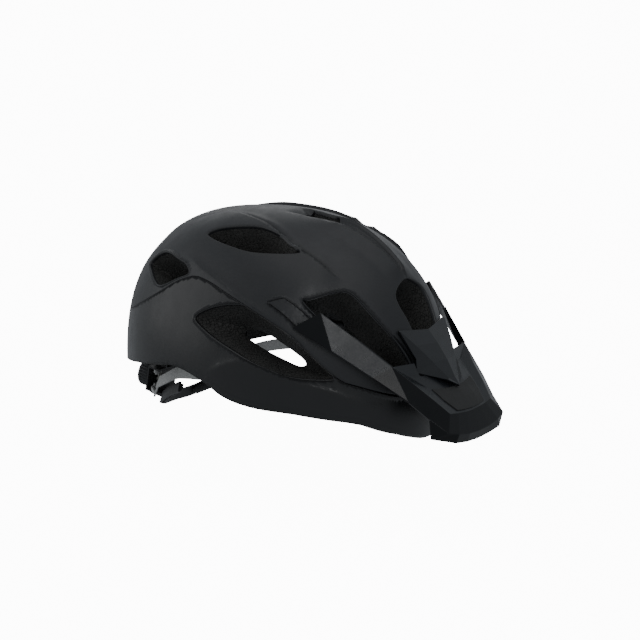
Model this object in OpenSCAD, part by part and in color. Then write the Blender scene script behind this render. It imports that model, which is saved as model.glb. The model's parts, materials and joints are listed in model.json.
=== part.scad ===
// Mountain bike helmet with visor, dial fit system and chin straps.
// Millimetres. The wearer looks along -Y, the wearer's left is +X and up is +Z.
// The origin is the centre of the head opening, at the level of the brow rim.

/* [Shell] */
// Reach of the outer dome from its pole to the brow
dome_front = 146; // [140:1:152]
// Reach of the outer dome from its pole to the back
dome_back = 145; // [140:1:150]
// Half width of the outer dome
dome_side = 107; // [103:1:111]
// Height of the outer dome above its widest line
dome_height = 131; // [127:1:135]
// Thickness of the polycarbonate skins
skin_t = 1.2; // [1:0.1:1.5]
// Height of the raised spine along the crown
spine_h = 5; // [3:0.5:6]

/* [Liner] */
// Inner reach of the foam from the pole to the brow
inner_front = 110; // [108:1:114]
// Inner reach of the foam from the pole to the back
inner_back = 107; // [105:1:110]
// Inner half width of the foam
inner_side = 82; // [80:1:84]
// Inner height of the foam above the widest line
inner_height = 101; // [98:1:104]

/* [Visor] */
// Thickness of the visor moulding
visor_t = 2.6; // [2.2:0.1:3]
// Radius of the visor's pivot studs
stud_r = 2.5; // [2:0.1:3]

/* [Fit system] */
// Height of the plastic bands
band_h = 10; // [8:1:12]
// Thickness of the plastic bands
band_t = 1.6; // [1.2:0.1:2]
// Pitch radius of the dial's pinion
pinion_r = 4.8; // [4.8:0.1:4.9]
// Number of pinion teeth
pinion_teeth = 8; // [8:1:8]
// Radius of the dial knob
knob_r = 13; // [12:0.5:14]

/* [Straps] */
// Width of the strap webbing
web_w = 15; // [14:1:17]
// Thickness of the strap webbing
web_t = 1.4; // [1.2:0.1:1.6]

/* [Hidden] */
$fn = 48;

steps = 54;                 // points round each ring of the dome
pole_y = 7;                 // the dome's pole, measured along Y before the dome is levelled
pole_z = 42;                // the dome's widest line
pitch = 10;                 // the dome is tipped nose up by this angle to level its rim
level_y = -12;
level_z = -18;
round_front = 2.2;          // superellipse exponents of the dome's profiles
round_back = 2.65;
round_side = 2.25;
OUTER = [dome_front, dome_back, dome_side, dome_height, 1];
INNER = [inner_front, inner_back, inner_side, inner_height, 0];
eps_gap = 0.2;              // between the skins and the foam

// Polar angle of the rim, and of the seam between the skins, against the angle round the pole
RIM = [[0, 108], [11, 106], [26, 102], [36, 98.5], [48, 97], [70, 94], [78, 93.5], [86, 91],
    [92, 88.5], [98, 86], [106, 86], [118, 88], [130, 89.5], [145, 90.5], [180, 91]];
SEAM = [[0, 92], [25, 90], [48, 84.5], [52, 78], [60, 71], [73, 64], [83, 59], [97, 53], [106, 53],
    [113, 59.5], [122, 66], [129, 69.5], [141, 75], [180, 76]];

// Vent outlines on the dome: the angle round the pole, and the angle down from it
VENT_A = [[120, 31], [107, 34.5], [95, 37], [84, 39], [75, 39.5], [62, 38.5], [54, 37.5],
    [60, 31], [75, 24], [84, 22], [97, 23], [114, 26]];
VENT_C = [[56, 58], [50, 56], [45, 54.5], [38, 53.5], [34, 55], [28, 63], [23, 69], [19, 74],
    [14, 81], [12, 86], [19, 87], [24, 84], [38, 75], [49, 66]];
VENT_E = [[140, 56], [140, 52], [134, 48], [126, 46.5], [117, 47.5], [110, 49], [106, 52],
    [107, 54], [112, 56], [116, 59], [121, 61], [128, 60]];
VENT_F = [[97, 69], [94, 67], [90, 65], [84, 63], [78, 63], [74, 65], [69, 67], [62, 72],
    [55, 76], [50, 80], [47, 83.5], [49, 86], [55, 86.5], [62, 85.5], [70, 83], [76, 80.5],
    [83, 77], [91, 74], [95, 71]];
VENT_H = [[170, 38], [158, 40], [152, 48], [154, 58], [160, 62], [171, 60]];
VENT_B = [[0, 6.5], [40, 11], [32, 18], [20, 21.5], [0, 22.5], [-20, 21.5], [-32, 18], [-40, 11]];
VENT_D = [[0, 51], [8, 53.5], [13, 57], [13, 61], [11.5, 66], [10, 72], [8, 79], [0, 81],
    [-8, 79], [-10, 72], [-11.5, 66], [-13, 61], [-13, 57], [-8, 53.5]];

function soft(table, x) =   // a table read with its corners eased
    let (ease = [-6, -3, 0, 3, 6])
    [for (d = ease) lookup(min(180, abs(x + d)), table)] * [for (d = ease) 1 / len(ease)];
function turn(psi) = psi > 180 ? 360 - psi : psi;
crown = function (psi) 3;
rim = function (psi) soft(RIM, turn(psi));
rim_in = function (psi) 90 + 1.3 * (rim(psi) - 90);
seam_over = function (psi) soft(SEAM, turn(psi)) - 0.4;
seam_under = function (psi) soft(SEAM, turn(psi)) + 0.4;

function profile(th, reach, height, n) =
    [reach * pow(abs(sin(th)), 2 / n), sign(cos(th)) * height * pow(abs(cos(th)), 2 / n)];
function levelled(p) = [p[0], p[1] * cos(pitch) + p[2] * sin(pitch) + level_y,
    p[2] * cos(pitch) - p[1] * sin(pitch) + level_z];
function spine(p) = spine_h * exp(-pow(p[0] / 26, 2)) * (p[2] > pole_z ? min(1, (p[2] - pole_z) / 50) : 0);
// A point of a dome: psi is the angle round the pole from the brow, th the angle down from the
// pole, and inset the distance inwards
function dome(r, psi, th, inset) =
    let (c = cos(psi), s = sin(psi),
         fb = c >= 0 ? profile(th, r[0] - inset, r[3] - inset, round_front)
                     : profile(th, r[1] - inset, r[3] - inset, round_back),
         sd = profile(th, r[2] - inset, r[3] - inset, round_side),
         p = [sd[0] * s, pole_y - fb[0] * c, pole_z + c * c * fb[1] + (1 - c * c) * sd[1]],
         out = p - [0, pole_y, pole_z])
    levelled(p + r[4] * spine(p) * out / norm(out));
function wall(psi, th, inset) = dome(INNER, psi, th, inset);

function ring(r, inset, th) = [for (i = [0 : steps - 1])
    let (psi = 360 * i / steps) dome(r, psi, th(psi), inset)];
function rows(r, inset, th0, th1, n) = [for (k = [0 : n])
    ring(r, inset, function (psi) th0(psi) + (th1(psi) - th0(psi)) * k / n)];
function middle(loop) = [for (p = loop) 1] * loop / len(loop);

// Faces turned over if they look inwards
function outward(points, faces) =
    let (v = [for (f = faces) points[f[0]] * cross(points[f[1]], points[f[2]])])
    v * [for (f = faces) 1] > 0 ? [for (f = faces) [f[0], f[2], f[1]]] : faces;

// A solid through a stack of loops of equal length; caps are fans round their middles
module loft(loops, looped = false) {
    n = len(loops[0]);
    m = len(loops);
    last = looped ? m : m - 1;
    points = [for (l = loops) each l];
    sides = [for (j = [0 : last - 1], i = [0 : n - 1])
        let (k = (i + 1) % n, b = j * n, t = ((j + 1) % m) * n)
        each [[b + i, t + i, b + k], [b + k, t + i, t + k]]];
    bottom = [for (i = [0 : n - 1]) [i, (i + 1) % n, m * n]];
    top = [for (i = [0 : n - 1]) [(m - 1) * n + (i + 1) % n, (m - 1) * n + i, m * n + 1]];
    if (looped) polyhedron(points, outward(points, sides));
    else let (all = concat(points, [middle(loops[0]), middle(loops[m - 1])]))
        polyhedron(all, outward(all, concat(sides, bottom, top)));
}

function flip(loops) = [for (i = [len(loops) - 1 : -1 : 0]) loops[i]];

// A closed curve through the points of a vent outline
function curve(p, per = 2) = let (n = len(p)) [for (i = [0 : n - 1], k = [0 : per - 1])
    let (a = p[(i + n - 1) % n], b = p[i], c = p[(i + 1) % n], d = p[(i + 2) % n], t = k / per)
    0.5 * (2 * b + (c - a) * t + (2 * a - 5 * b + 4 * c - d) * t * t
        + (3 * b - a - 3 * c + d) * t * t * t)];
// Shrinks an outline towards its middle, in the flat chart of the dome
function chart(q) = [q[1] * sin(q[0]), q[1] * cos(q[0])];
function unchart(v) = [atan2(v[0], v[1]), norm(v)];
function shrunk(loop, k, shift) = let (flat = [for (q = loop) chart(q)], m = middle(flat))
    [for (v = flat) unchart(m + (v - m) * k + shift)];

module vent(loop, k, shift) {
    outline = curve(loop);
    inner = shrunk(outline, k, shift);
    loft([
        [for (q = inner) wall(q[0], q[1], 9)],
        [for (q = outline) dome(OUTER, q[0], q[1], 3)],
        [for (q = outline) dome(OUTER, q[0], q[1], -9)]]);
}

module vents() {
    for (side = [[0, 1], [1, -1]]) mirror([side[0], 0, 0]) {
        vent(VENT_A, 0.8, [2, 0]);
        vent(VENT_C, 0.8, [1, -1]);
        vent(VENT_E, 0.8, [1, 1]);
        vent(VENT_F, 0.78, [0, 0]);
        vent(VENT_H, 0.8, [0, 2]);
    }
    vent(VENT_B, 0.9, [0, 0]);
    vent(VENT_D, 0.85, [0, -1]);
}

// The visor turns about this line, across the helmet
pivot_y = -70;
pivot_z = 87;
pocket_r = 6.5;
pocket_x = 66;
module across(r, x0, x1, sides = 48)
    both() translate([x0, pivot_y, pivot_z]) rotate([0, 90, 0]) cylinder(r = r, h = x1 - x0, $fn = sides);
module both() { children(); mirror([1, 0, 0]) children(); }

COVER = [[69, 60], [63, 58], [53.5, 65], [58.5, 68]];
module cover(inset0, inset1, grow) loft([for (inset = [inset0, inset1])
    [for (q = shrunk(COVER, grow, [0, 0])) dome(OUTER, q[0], q[1], inset)]]);

module cut_outs() {
    vents();
    across(pocket_r, pocket_x, 100);
}

module eps_liner() color([0.12, 0.12, 0.13])
    resize([0, 0, 0]) difference() {
        loft(concat(rows(OUTER, skin_t + eps_gap, crown, seam_over, 7),
            rows(OUTER, skin_t + eps_gap, seam_under, rim, 5), flip(rows(INNER, 0, crown, rim_in, 9))));
        cut_outs();
        both() pin(1.8, 70, temple[0] + 2.3);
    }

module skin(th0, th1, n, looped)
    resize([0, 0, 0]) difference() {
        loft(concat(rows(OUTER, skin_t, th0, th1, n), flip(rows(OUTER, 0, th0, th1, n))), looped);
        cut_outs();
        both() cover(-6, 6, 1.06);
    }
module upper_shell() color([0.09, 0.09, 0.1]) skin(crown, seam_over, 7, false);
module lower_shell() color([0.07, 0.07, 0.08]) skin(seam_under, rim, 5, true);

// ---- visor, drawn before the dome is levelled: half of it, as [x, forward, up] ----
ARM_TOP = [[76.5, 81, 107.5], [68.5, 107, 90], [55, 133, 68.5], [48, 160, 43], [46.5, 174, 27]];
ARM_LOW = [[87.5, 63, 93.5], [81.5, 97, 71.5], [63, 128, 49], [54, 152, 31], [46, 178, 13]];
ARM_OUT = [[0.8, 0.4, 0.45], [0.75, 0.5, 0.4], [0.7, 0.55, 0.45], [0.8, 0.5, 0.33], [0.9, 0.4, 0.2]];
DECK = [
    [[0, 143, 62], [13, 142.5, 61.5], [25, 140.5, 59.5], [38, 137, 60], [55, 133, 68.5]],
    [[0, 154, 52], [13, 153.5, 51.5], [25, 152, 49.5], [38, 149, 48.5], [51, 147, 55]],
    [[0, 165, 41], [13, 164, 40.5], [25, 162, 38.5], [37, 160, 37], [48, 160, 43]],
    [[0, 173, 29], [12, 172.7, 28.8], [22, 172, 28.5], [33, 171, 28], [46.5, 174, 27]],
    [[0, 180, 12], [12, 179.6, 12], [24, 179, 12.3], [36, 178, 13], [45, 175.5, 14]]];
DECK_OUT = [[0, 0.6, 0.8], [0, 0.6, 0.8], [0, 0.7, 0.7], [0, 0.85, 0.5], [0, 1, 0.1]];
TONGUE = [
    [[0, 141, 91], [12, 140, 91], [23, 137, 90]],
    [[0, 148, 78], [11, 147, 78], [22, 142.5, 76]],
    [[0, 154, 65], [10, 153, 64.5], [21, 146, 61]],
    [[0, 161, 54], [7, 160, 53], [15, 155, 50]],
    [[0, 169, 42], [3, 168, 41], [6, 166, 38]]];

function at(p) = levelled([p[0], -p[1], p[2]]);
function halves(row) = concat([for (i = [len(row) - 1 : -1 : 1]) [-row[i][0], row[i][1], row[i][2]]], row);
function slab(row, out, top, under) = concat(
    [for (p = halves(row)) at(p + out * top)],
    [for (p = flip(halves(row))) at(p - out * under)]);

module visor_arm(top, under) loft([for (i = [0 : 4]) [
    at(ARM_TOP[i] + ARM_OUT[i] * top), at(ARM_LOW[i] + ARM_OUT[i] * top),
    at(ARM_LOW[i] - ARM_OUT[i] * under), at(ARM_TOP[i] - ARM_OUT[i] * under)]]);
module visor_deck() loft([for (i = [0 : 4]) slab(DECK[i], DECK_OUT[i], 0, visor_t)]);
module visor_tongue(grow) loft([for (row = TONGUE)
    slab([for (p = row) p + [p[0] > 0 ? grow : 0, 0, 0]], [0, 0.85, 0.5], grow, visor_t + grow)]);

// The matte panel lies in a recess of the deck, between these rows
function mixed(a, b, t) = a + (b - a) * t;
function inlay_row(i, k, e) = [for (j = [0 : 3]) let (
        p = i == 0 ? mixed(DECK[0][j], DECK[1][j], 0.2 + e)
          : i == 3 ? mixed(DECK[3][j], DECK[2][j], 0.1 + e) : DECK[i][j])
    [p[0] * k, p[1], p[2]]];
panel_t = 1;
module visor_inlay(top, under, k, e)
    loft([for (i = [0 : 3]) slab(inlay_row(i, k, e), DECK_OUT[i], top, under)]);

module dome_clearance() loft(rows(OUTER, -1, crown, rim, 8));
visor_travel = 15;
module visor_frame() color([0.1, 0.11, 0.12])
    resize([0, 0, 0]) difference() {
        union() {
            difference() {
                visor_deck();
                visor_inlay(4, panel_t + 0.5, 0.9, 0);
            }
            both() visor_arm(1.6, visor_t - 1.6);
            visor_tongue(0);
        }
        for (a = [0, 1]) translate([0, pivot_y, pivot_z]) rotate([a * visor_travel, 0, 0])
            translate([0, -pivot_y, -pivot_z]) dome_clearance();
    }
module visor_panel() color([0.13, 0.13, 0.13])
    resize([0, 0, 0]) difference() {
        visor_inlay(0, panel_t, 0.885, 0.03);
        visor_tongue(0.3);
    }

// Bosses inside the arms turn on studs held by the foam
module visor_bosses() color([0.1, 0.11, 0.12]) both() translate([0, pivot_y, pivot_z]) rotate([0, 90, 0])
    difference() {
        translate([0, 0, 69.6]) cylinder(r = 5.6, h = 12);
        translate([0, 0, 60]) cylinder(r = stud_r + 0.05, h = 16);
        translate([0, 0, 75.4]) cylinder(r = 4.3, h = 2.4);
    }
module visor_mounts() color([0.16, 0.16, 0.17]) both() translate([0, pivot_y, pivot_z]) rotate([0, 90, 0])
    difference() {
        union() {
            translate([0, 0, pocket_x + 0.1]) cylinder(r = pocket_r - 0.2, h = 3);
            translate([0, 0, pocket_x + 0.1]) cylinder(r = stud_r, h = 9.5);
        }
        translate([0, 0, pocket_x + 1]) cylinder(r = 1.3, h = 12);
    }
module visor_screws() color([0.6, 0.6, 0.62]) both() translate([0, pivot_y, pivot_z]) rotate([0, 90, 0])
    difference() {
        union() {
            translate([0, 0, pocket_x + 2]) cylinder(r = 1.3, h = 8);
            translate([0, 0, pocket_x + 9.6]) cylinder(r = 4, h = 1.5);
        }
        translate([0, 0, pocket_x + 10.2]) cylinder(r = 1.4, h = 3, $fn = 6);
    }
module visor_covers() color([0.11, 0.11, 0.12]) both() cover(-0.45, 0.55, 1);

// ---- strips: bands, webbing and pads swept along paths ----
function unit(v) = v / norm(v);
function spline(p, per) = let (n = len(p)) concat([for (i = [0 : n - 2], k = [0 : per - 1])
    let (a = p[max(i - 1, 0)], b = p[i], c = p[i + 1], d = p[min(i + 2, n - 1)], t = k / per)
    0.5 * (2 * b + (c - a) * t + (2 * a - 5 * b + 4 * c - d) * t * t
        + (3 * b - a - 3 * c + d) * t * t * t)], [p[n - 1]]);
function away(p) = unit([p[0], p[1], 0]);
// Directions of a strip's faces: outwards from the head, either level or square to the dome
function faces_out(path, level) = [for (p = path)
    level ? away(p + [0, 20, 0]) : unit(p - [0, 0, 30])];
module strip(path, w, t, level = false, round = 0) {
    n = len(path);
    out = faces_out(path, level);
    loft([for (i = [0 : n - 1]) let (
            along = unit(path[min(i + 1, n - 1)] - path[max(i - 1, 0)]),
            side = unit(cross(out[i], along)), up = unit(cross(along, side)),
            e = i == 0 || i == n - 1 ? 1 - round : 1,
            a = side * w / 2 * e, b = up * t / 2, c = a * (1 - 2 * t / w * round))
        round > 0 ? [for (q = [a, c + b, -c + b, -a, -c - b, c - b]) path[i] + q]
                  : [for (q = [a + b, -a + b, -a - b, a - b]) path[i] + q]]);
}
function on_wall(q, inset, per = 3) = [for (v = spline([for (c = q) chart(c)], per))
    let (c = unchart(v)) wall(c[0], c[1], inset)];

// ---- fit system ----
band_th = 89.3;             // the bands ride round the foam's inner wall at this polar angle
dial_z = -28;
rack_y = 125;
temple_psi = 75;            // the temple pins, where the fit system tips for height
flex_psi = 107;             // where the side bands bend as the dial turns
temple = wall(temple_psi, band_th, 0);
flex = wall(flex_psi, band_th, 4.4);
module pin(r, x0, x1) translate([x0, temple[1], temple[2]]) rotate([0, 90, 0]) cylinder(r = r, h = x1 - x0);

module headband() color([0.62, 0.62, 0.6]) difference() {
    resize([0, 0, 0]) strip(on_wall([[-84, 90], [-60, 91], [-30, 94.5], [0, 97], [30, 94.5], [60, 91],
        [84, 90]], 2.2, 6), band_h, band_t, true);
    both() pin(1.8, 60, 90);
}
module temple_pins() color([0.14, 0.14, 0.15]) both() {
    pin(1.75, temple[0] - 6.7, temple[0] + 2);
    pin(3.2, temple[0] - 7.7, temple[0] - 6.6);
}
module temple_bands() color([0.14, 0.14, 0.15]) both() difference() {
    resize([0, 0, 0]) strip(on_wall([[70, band_th], [88, band_th], [flex_psi - 2.2, band_th]], 4.4, 6),
        band_h, band_t, true);
    pin(1.8, 60, 90);
}

// A side band from its bend to the start of its rack, on the left
BAND = [[flex[0] - 0.9, flex[1] + 3.4, flex[2] - 1.6], [66, 55.4, 10.5], [58.2, 70, 4],
    [47.5, 87.4, -8], [37, 103, -19]];
// The rack, plain outside the housing and toothed inside it, above or below the pinion
rack_h = 3;
rack_off = pinion_r + 1.2 + rack_h / 2;
rack_tip = -14;
tooth = 2 * PI * pinion_r / pinion_teeth;
function rack_path(up) = [[39, 101, -20], [31, 109, dial_z + up * (rack_off - 2)],
    [23, 115, dial_z + up * rack_off], [15, rack_y - 0.4, dial_z + up * rack_off],
    [11, rack_y, dial_z + up * rack_off]];
module rack_teeth() translate([0, rack_y + band_t / 2, dial_z]) rotate([90, 0, 0]) linear_extrude(band_t)
    difference() {
        translate([rack_tip, pinion_r - 0.7]) square([13 - rack_tip, rack_h + 1.9]);
        for (i = [-4 : 3]) translate([(i + 0.5) * tooth, 0])
            polygon([[-1.65, 0], [1.65, 0], [0.95, pinion_r + 1.3], [-0.95, pinion_r + 1.3]]);
    }
module side_band(up) {
    resize([0, 0, 0]) union() {
        strip(spline(BAND, 4), band_h, band_t, true);
        strip(spline(rack_path(up), 3), rack_h, band_t, true);
    }
    if (up > 0) rack_teeth();
    else translate([0, 0, 2 * dial_z]) mirror([0, 0, 1]) rack_teeth();
}
module left_band() color([0.14, 0.14, 0.15]) side_band(1);
module right_band() color([0.14, 0.14, 0.15]) mirror([1, 0, 0]) side_band(-1);

house_w = 32;
house_h = 22;
house_y = 119;              // the housing's head side
house_d = 12;
wall_t = 1.5;
module block(x0, x1, y0, y1, z0, z1) translate([x0, y0, z0]) cube([x1 - x0, y1 - y0, z1 - z0]);
module shaft(r, y0, y1) translate([0, y1, dial_z]) rotate([90, 0, 0]) cylinder(r = r, h = y1 - y0);
module dial_housing() color([0.08, 0.08, 0.09]) {
    difference() {
        block(-house_w / 2, house_w / 2, house_y, house_y + house_d,
            dial_z - house_h / 2, dial_z + house_h / 2);
        block(-house_w, house_w, house_y - 1, house_y + house_d - wall_t,
            dial_z - house_h / 2 + wall_t, dial_z + house_h / 2 - wall_t);
        shaft(2.56, house_y, house_y + 20);
    }
    both() block(4.6, 6.4, house_y, house_y + house_d, dial_z + house_h / 2, dial_z + house_h / 2 + 5.4);
}
module housing_cover() color([0.1, 0.1, 0.11]) difference() {
    block(-10, 10, house_y, house_y + 1.2, dial_z - house_h / 2 + wall_t + 0.05,
        dial_z + house_h / 2 - wall_t - 0.05);
    shaft(1.56, house_y - 1, house_y + 3);
}
WING = [[56.5, 66, -7], [47.5, 83.5, -19], [34, 99, -32], [17, 107, -39], [0, 109.5, -40]];
module cradle() color([0.05, 0.05, 0.06]) {
    resize([0, 0, 0]) strip(spline(concat([for (p = WING) [-p[0], p[1], p[2]]],
        flip([for (i = [0 : 3]) WING[i]])), 3), 9, 2.2, true);
    block(-11, 11, 109, 128, dial_z - house_h / 2 - 3.2, dial_z - house_h / 2 - 0.02);
    hull() {
        block(-6, 6, 122, 127, dial_z - house_h / 2 - 5, dial_z - house_h / 2 - 2.9);
        block(-1, 1, 135, 137, dial_z - house_h / 2 - 7, dial_z - house_h / 2 - 5);
    }
}
module cradle_pads() color([0.18, 0.18, 0.19]) both()
    strip([for (p = spline([for (i = [0 : 3]) WING[i]], 3)) p - away(p) * 3.4], 11, 3.4, true, 0.35);

module gear(r, n, h) rotate([90, 0, 0]) difference() {
    union() {
        cylinder(r = r - 1.6, h = h);
        for (i = [0 : n - 1]) rotate(i * 360 / n) linear_extrude(h)
            polygon([[r - 2.4, -0.85], [r - 2.4, 0.85], [r + 0.9, 0.3], [r + 0.9, -0.3]]);
    }
    translate([0, 0, -1]) cylinder(r = 1.5, h = h + 2);
}
module pinion() color([0.75, 0.75, 0.72]) translate([0, house_y + 9.6, dial_z])
    rotate([0, 90 - 180 / pinion_teeth, 0]) gear(pinion_r, pinion_teeth, 7.6);
knob_y = house_y + house_d + 0.5;
module dial_knob() color([0.16, 0.17, 0.18]) difference() {
    union() {
        difference() {
            shaft(knob_r, knob_y, knob_y + 12);
            for (i = [0 : 29]) translate([0, knob_y - 1, dial_z]) rotate([0, i * 12, 0])
                translate([knob_r + 0.35, 0, 0]) rotate([-90, 0, 0]) cylinder(r = 0.9, h = 10.5, $fn = 16);
        }
        shaft(2.5, house_y + 9.8, knob_y + 1);
        shaft(1.5, house_y + 0.1, knob_y + 1);
    }
    shaft(1, house_y + 6, knob_y + 13);
    shaft(2.8, knob_y + 10.8, knob_y + 13);
}
module dial_screw() color([0.7, 0.7, 0.72]) difference() {
    union() {
        shaft(1, house_y + 6, knob_y + 10.9);
        shaft(2.75, knob_y + 10.8, knob_y + 11.8);
    }
    shaft(1, knob_y + 11.2, knob_y + 13);
}

strip_w = 10;
module height_strip() color([0.14, 0.14, 0.15]) {
    resize([0, 0, 0]) strip(concat([for (th = [58 : 6 : 88]) wall(180, th, 2.8)],
        [[0, 103.4, 1], [0, 103.6, -5], [0, 103.6, dial_z + house_h / 2 + 3]]), strip_w, band_t, true);
    block(-4, 4, 103.6, 129, dial_z + house_h / 2 + 3, dial_z + house_h / 2 + 5);
}
guide = wall(180, 72, 0);
guide_rise = wall(180, 66, 0) - wall(180, 78, 0);
module height_guide() color([0.14, 0.14, 0.15]) translate(guide)
    rotate([atan2(-guide_rise[1], guide_rise[2]), 0, 0]) difference() {
        block(-9, 9, -8.2, 0.6, -5, 5);
        block(-6, 6, -6.4, 3, -8, 8);
    }

// ---- pads ----
module forehead_pad() color([0.17, 0.17, 0.18])
    strip(on_wall([[-42, 95], [-24, 98], [0, 99.5], [24, 98], [42, 95]], 6.9, 5), 22, 5, true, 0.3);
pad_t = 4.6;
pad_in = 1.6 + pad_t / 2;
module pad(q, w) strip(on_wall(q, pad_in, 4), w, pad_t, false, 0.35);
module crown_pads() color([0.17, 0.17, 0.18]) {
    pad([[0, 27], [0, 36], [0, 46]], 22);
    pad([[180, 6], [180, 20], [180, 34]], 22);
    both() pad([[43, 29], [42, 37], [41.5, 46]], 12);
}
module side_pads() color([0.17, 0.17, 0.18]) both() pad([[69, 52.5], [80, 51.5], [91, 51.5]], 13);
module rear_pads() color([0.17, 0.17, 0.18]) both() pad([[154, 72], [140, 71], [127, 70.5]], 13);

// ---- straps, tucked up inside the head opening ----
strap_in = 10.4;
anchor_front = wall(88, 78, strap_in);
anchor_rear = wall(120, 78, strap_in);
strap_line = unit(anchor_rear - anchor_front);
module on_strap_line(p) translate(p)
    rotate([0, acos(strap_line[2]), atan2(strap_line[1], strap_line[0])]) children();
module strap_anchors() color([0.1, 0.1, 0.11]) both() for (p = [anchor_front, anchor_rear]) {
    on_strap_line(p) {
        translate([0, 0, -10]) cylinder(r = 1.2, h = 20, $fn = 24);
        for (z = [-10, 8.4]) translate([-2.2, -14, z]) cube([4.4, 16.2, 1.6]);
    }
}
FRONT_LEG = [[88, 75.6], [89, 66], [92, 57], [98, 49]];
REAR_LEG = [[120, 75.6], [117, 66], [112, 57], [105.5, 49]];
module loops() for (p = [anchor_front, anchor_rear]) on_strap_line(p)
    difference() {
        translate([0, 0, -web_w / 2]) cylinder(r = 2.6, h = web_w, $fn = 32);
        translate([0, 0, -10]) cylinder(r = 1.28, h = 20, $fn = 32);
    }
module strap_pair() color([0.09, 0.09, 0.1]) {
    resize([0, 0, 0]) union() {
        strip(on_wall(FRONT_LEG, strap_in, 3), web_w, web_t);
        strip(on_wall(REAR_LEG, strap_in + 0.4, 3), web_w, web_t);
    }
    loops();
}
module left_straps() strap_pair();
module right_straps() mirror([1, 0, 0]) strap_pair();
module divider() color([0.1, 0.1, 0.11])
    strip(on_wall([[102, 49.5], [102, 44], [101.5, 39.5]], strap_in + 0.2, 2), 24, 5);
module left_divider() divider();
module right_divider() mirror([1, 0, 0]) divider();
CHIN = [[100.5, 41], [89.5, 39.3], [76.5, 39.8], [67.5, 42.4], [61.5, 46.6]];
module chin() color([0.09, 0.09, 0.1]) strip(on_wall(CHIN, strap_in, 3), web_w, web_t);
module left_chin_strap() chin();
module right_chin_strap() mirror([1, 0, 0]) chin();
BUCKLE = [[61, 46.2], [58.5, 50.4], [56.3, 55]];
module buckle_body(k, w, t) strip(on_wall([BUCKLE[0], mixed(BUCKLE[0], BUCKLE[1], k),
    mixed(BUCKLE[0], BUCKLE[2], k)], strap_in + 1, 3), w, t, false, 0.25);
module buckle_socket() color([0.08, 0.08, 0.09]) mirror([1, 0, 0]) buckle_body(1, 22, 7);
module buckle_plug() color([0.08, 0.08, 0.09]) {
    resize([0, 0, 0]) union() {
        buckle_body(0.5, 21, 6.5);
        strip(on_wall([BUCKLE[1], BUCKLE[2]], strap_in + 1, 2), 12, 3);
    }
}
module chin_pad() color([0.17, 0.17, 0.18])
    strip(on_wall([[89.5, 39.3], [80.5, 39.4], [71.5, 41]], strap_in + web_t / 2 + 1.9, 3),
        20, 3.4, false, 0.3);
module strap_keeper() color([0.05, 0.05, 0.05]) mirror([1, 0, 0]) difference() {
    strip(on_wall([[81.5, 39.4], [78.5, 39.6], [75.5, 39.9]], strap_in, 2), 18.4, 3.8);
    strip(on_wall([[85.5, 39.3], [78.5, 39.6], [70.5, 41.2]], strap_in, 2), 16.6, 2);
}

eps_liner();
upper_shell();
lower_shell();
visor_frame();
visor_panel();
visor_bosses();
visor_mounts();
visor_screws();
visor_covers();
headband();
temple_pins();
temple_bands();
right_band();
left_band();
height_strip();
height_guide();
dial_housing();
housing_cover();
cradle();
cradle_pads();
pinion();
dial_knob();
dial_screw();
forehead_pad();
crown_pads();
side_pads();
rear_pads();
strap_anchors();
right_straps();
left_straps();
right_divider();
left_divider();
right_chin_strap();
left_chin_strap();
buckle_socket();
buckle_plug();
chin_pad();
strap_keeper();
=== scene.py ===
"""Looks for the cycling helmet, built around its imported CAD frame.

The wearer looks along -Y, the wearer's left is +X and up is +Z. Lengths in the tables are millimetres
and angles are degrees; make() and build_pads() turn the finished points into metres.
"""

import json
import math

import bmesh
import bpy
import numpy as np
from mathutils import Matrix, Vector, geometry, kdtree


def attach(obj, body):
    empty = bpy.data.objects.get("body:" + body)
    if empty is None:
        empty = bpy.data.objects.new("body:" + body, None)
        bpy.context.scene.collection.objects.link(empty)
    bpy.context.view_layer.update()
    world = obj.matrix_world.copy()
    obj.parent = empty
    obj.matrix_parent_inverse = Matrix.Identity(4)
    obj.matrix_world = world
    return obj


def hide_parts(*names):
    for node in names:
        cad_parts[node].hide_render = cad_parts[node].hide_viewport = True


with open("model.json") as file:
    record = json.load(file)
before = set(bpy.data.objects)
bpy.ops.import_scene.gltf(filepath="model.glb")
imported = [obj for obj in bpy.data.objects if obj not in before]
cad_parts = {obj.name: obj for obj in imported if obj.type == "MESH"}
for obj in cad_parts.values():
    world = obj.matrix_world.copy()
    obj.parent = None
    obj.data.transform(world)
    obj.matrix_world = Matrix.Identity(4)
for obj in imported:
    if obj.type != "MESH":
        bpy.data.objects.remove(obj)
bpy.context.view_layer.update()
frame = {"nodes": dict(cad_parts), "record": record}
MM = 0.001

# ---------------------------------------------------------------- camera, lights and floor

CAMERA_BACK = Vector((-0.8068, -0.5091, 0.2999))    # from the target towards the camera
CAMERA_UP = Vector((0.1707, 0.2852, 0.9432))
CAMERA_TARGET = Vector((0.0, -0.0016, 0.0411))
CAMERA_DISTANCE = 2.004
CAMERA_LENS = 135.3
FRAME_SHIFT = (0.02317, 0.01983)     # how far right of and above the target the view's centre lies


def make_camera():
    back, up = CAMERA_BACK.normalized(), CAMERA_UP.normalized()
    right = up.cross(back).normalized()
    up = back.cross(right).normalized()
    camera = bpy.data.objects.new("camera", bpy.data.cameras.new("camera"))
    bpy.context.scene.collection.objects.link(camera)
    camera.data.lens = CAMERA_LENS
    camera.data.sensor_width = 36
    camera.data.clip_end = 60
    centre = CAMERA_TARGET + right * FRAME_SHIFT[0] + up * FRAME_SHIFT[1]
    place = centre + back * CAMERA_DISTANCE
    turn = Matrix((right, up, back)).transposed().to_4x4()
    camera.matrix_world = Matrix.Translation(place) @ turn
    bpy.context.scene.camera = camera


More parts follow.
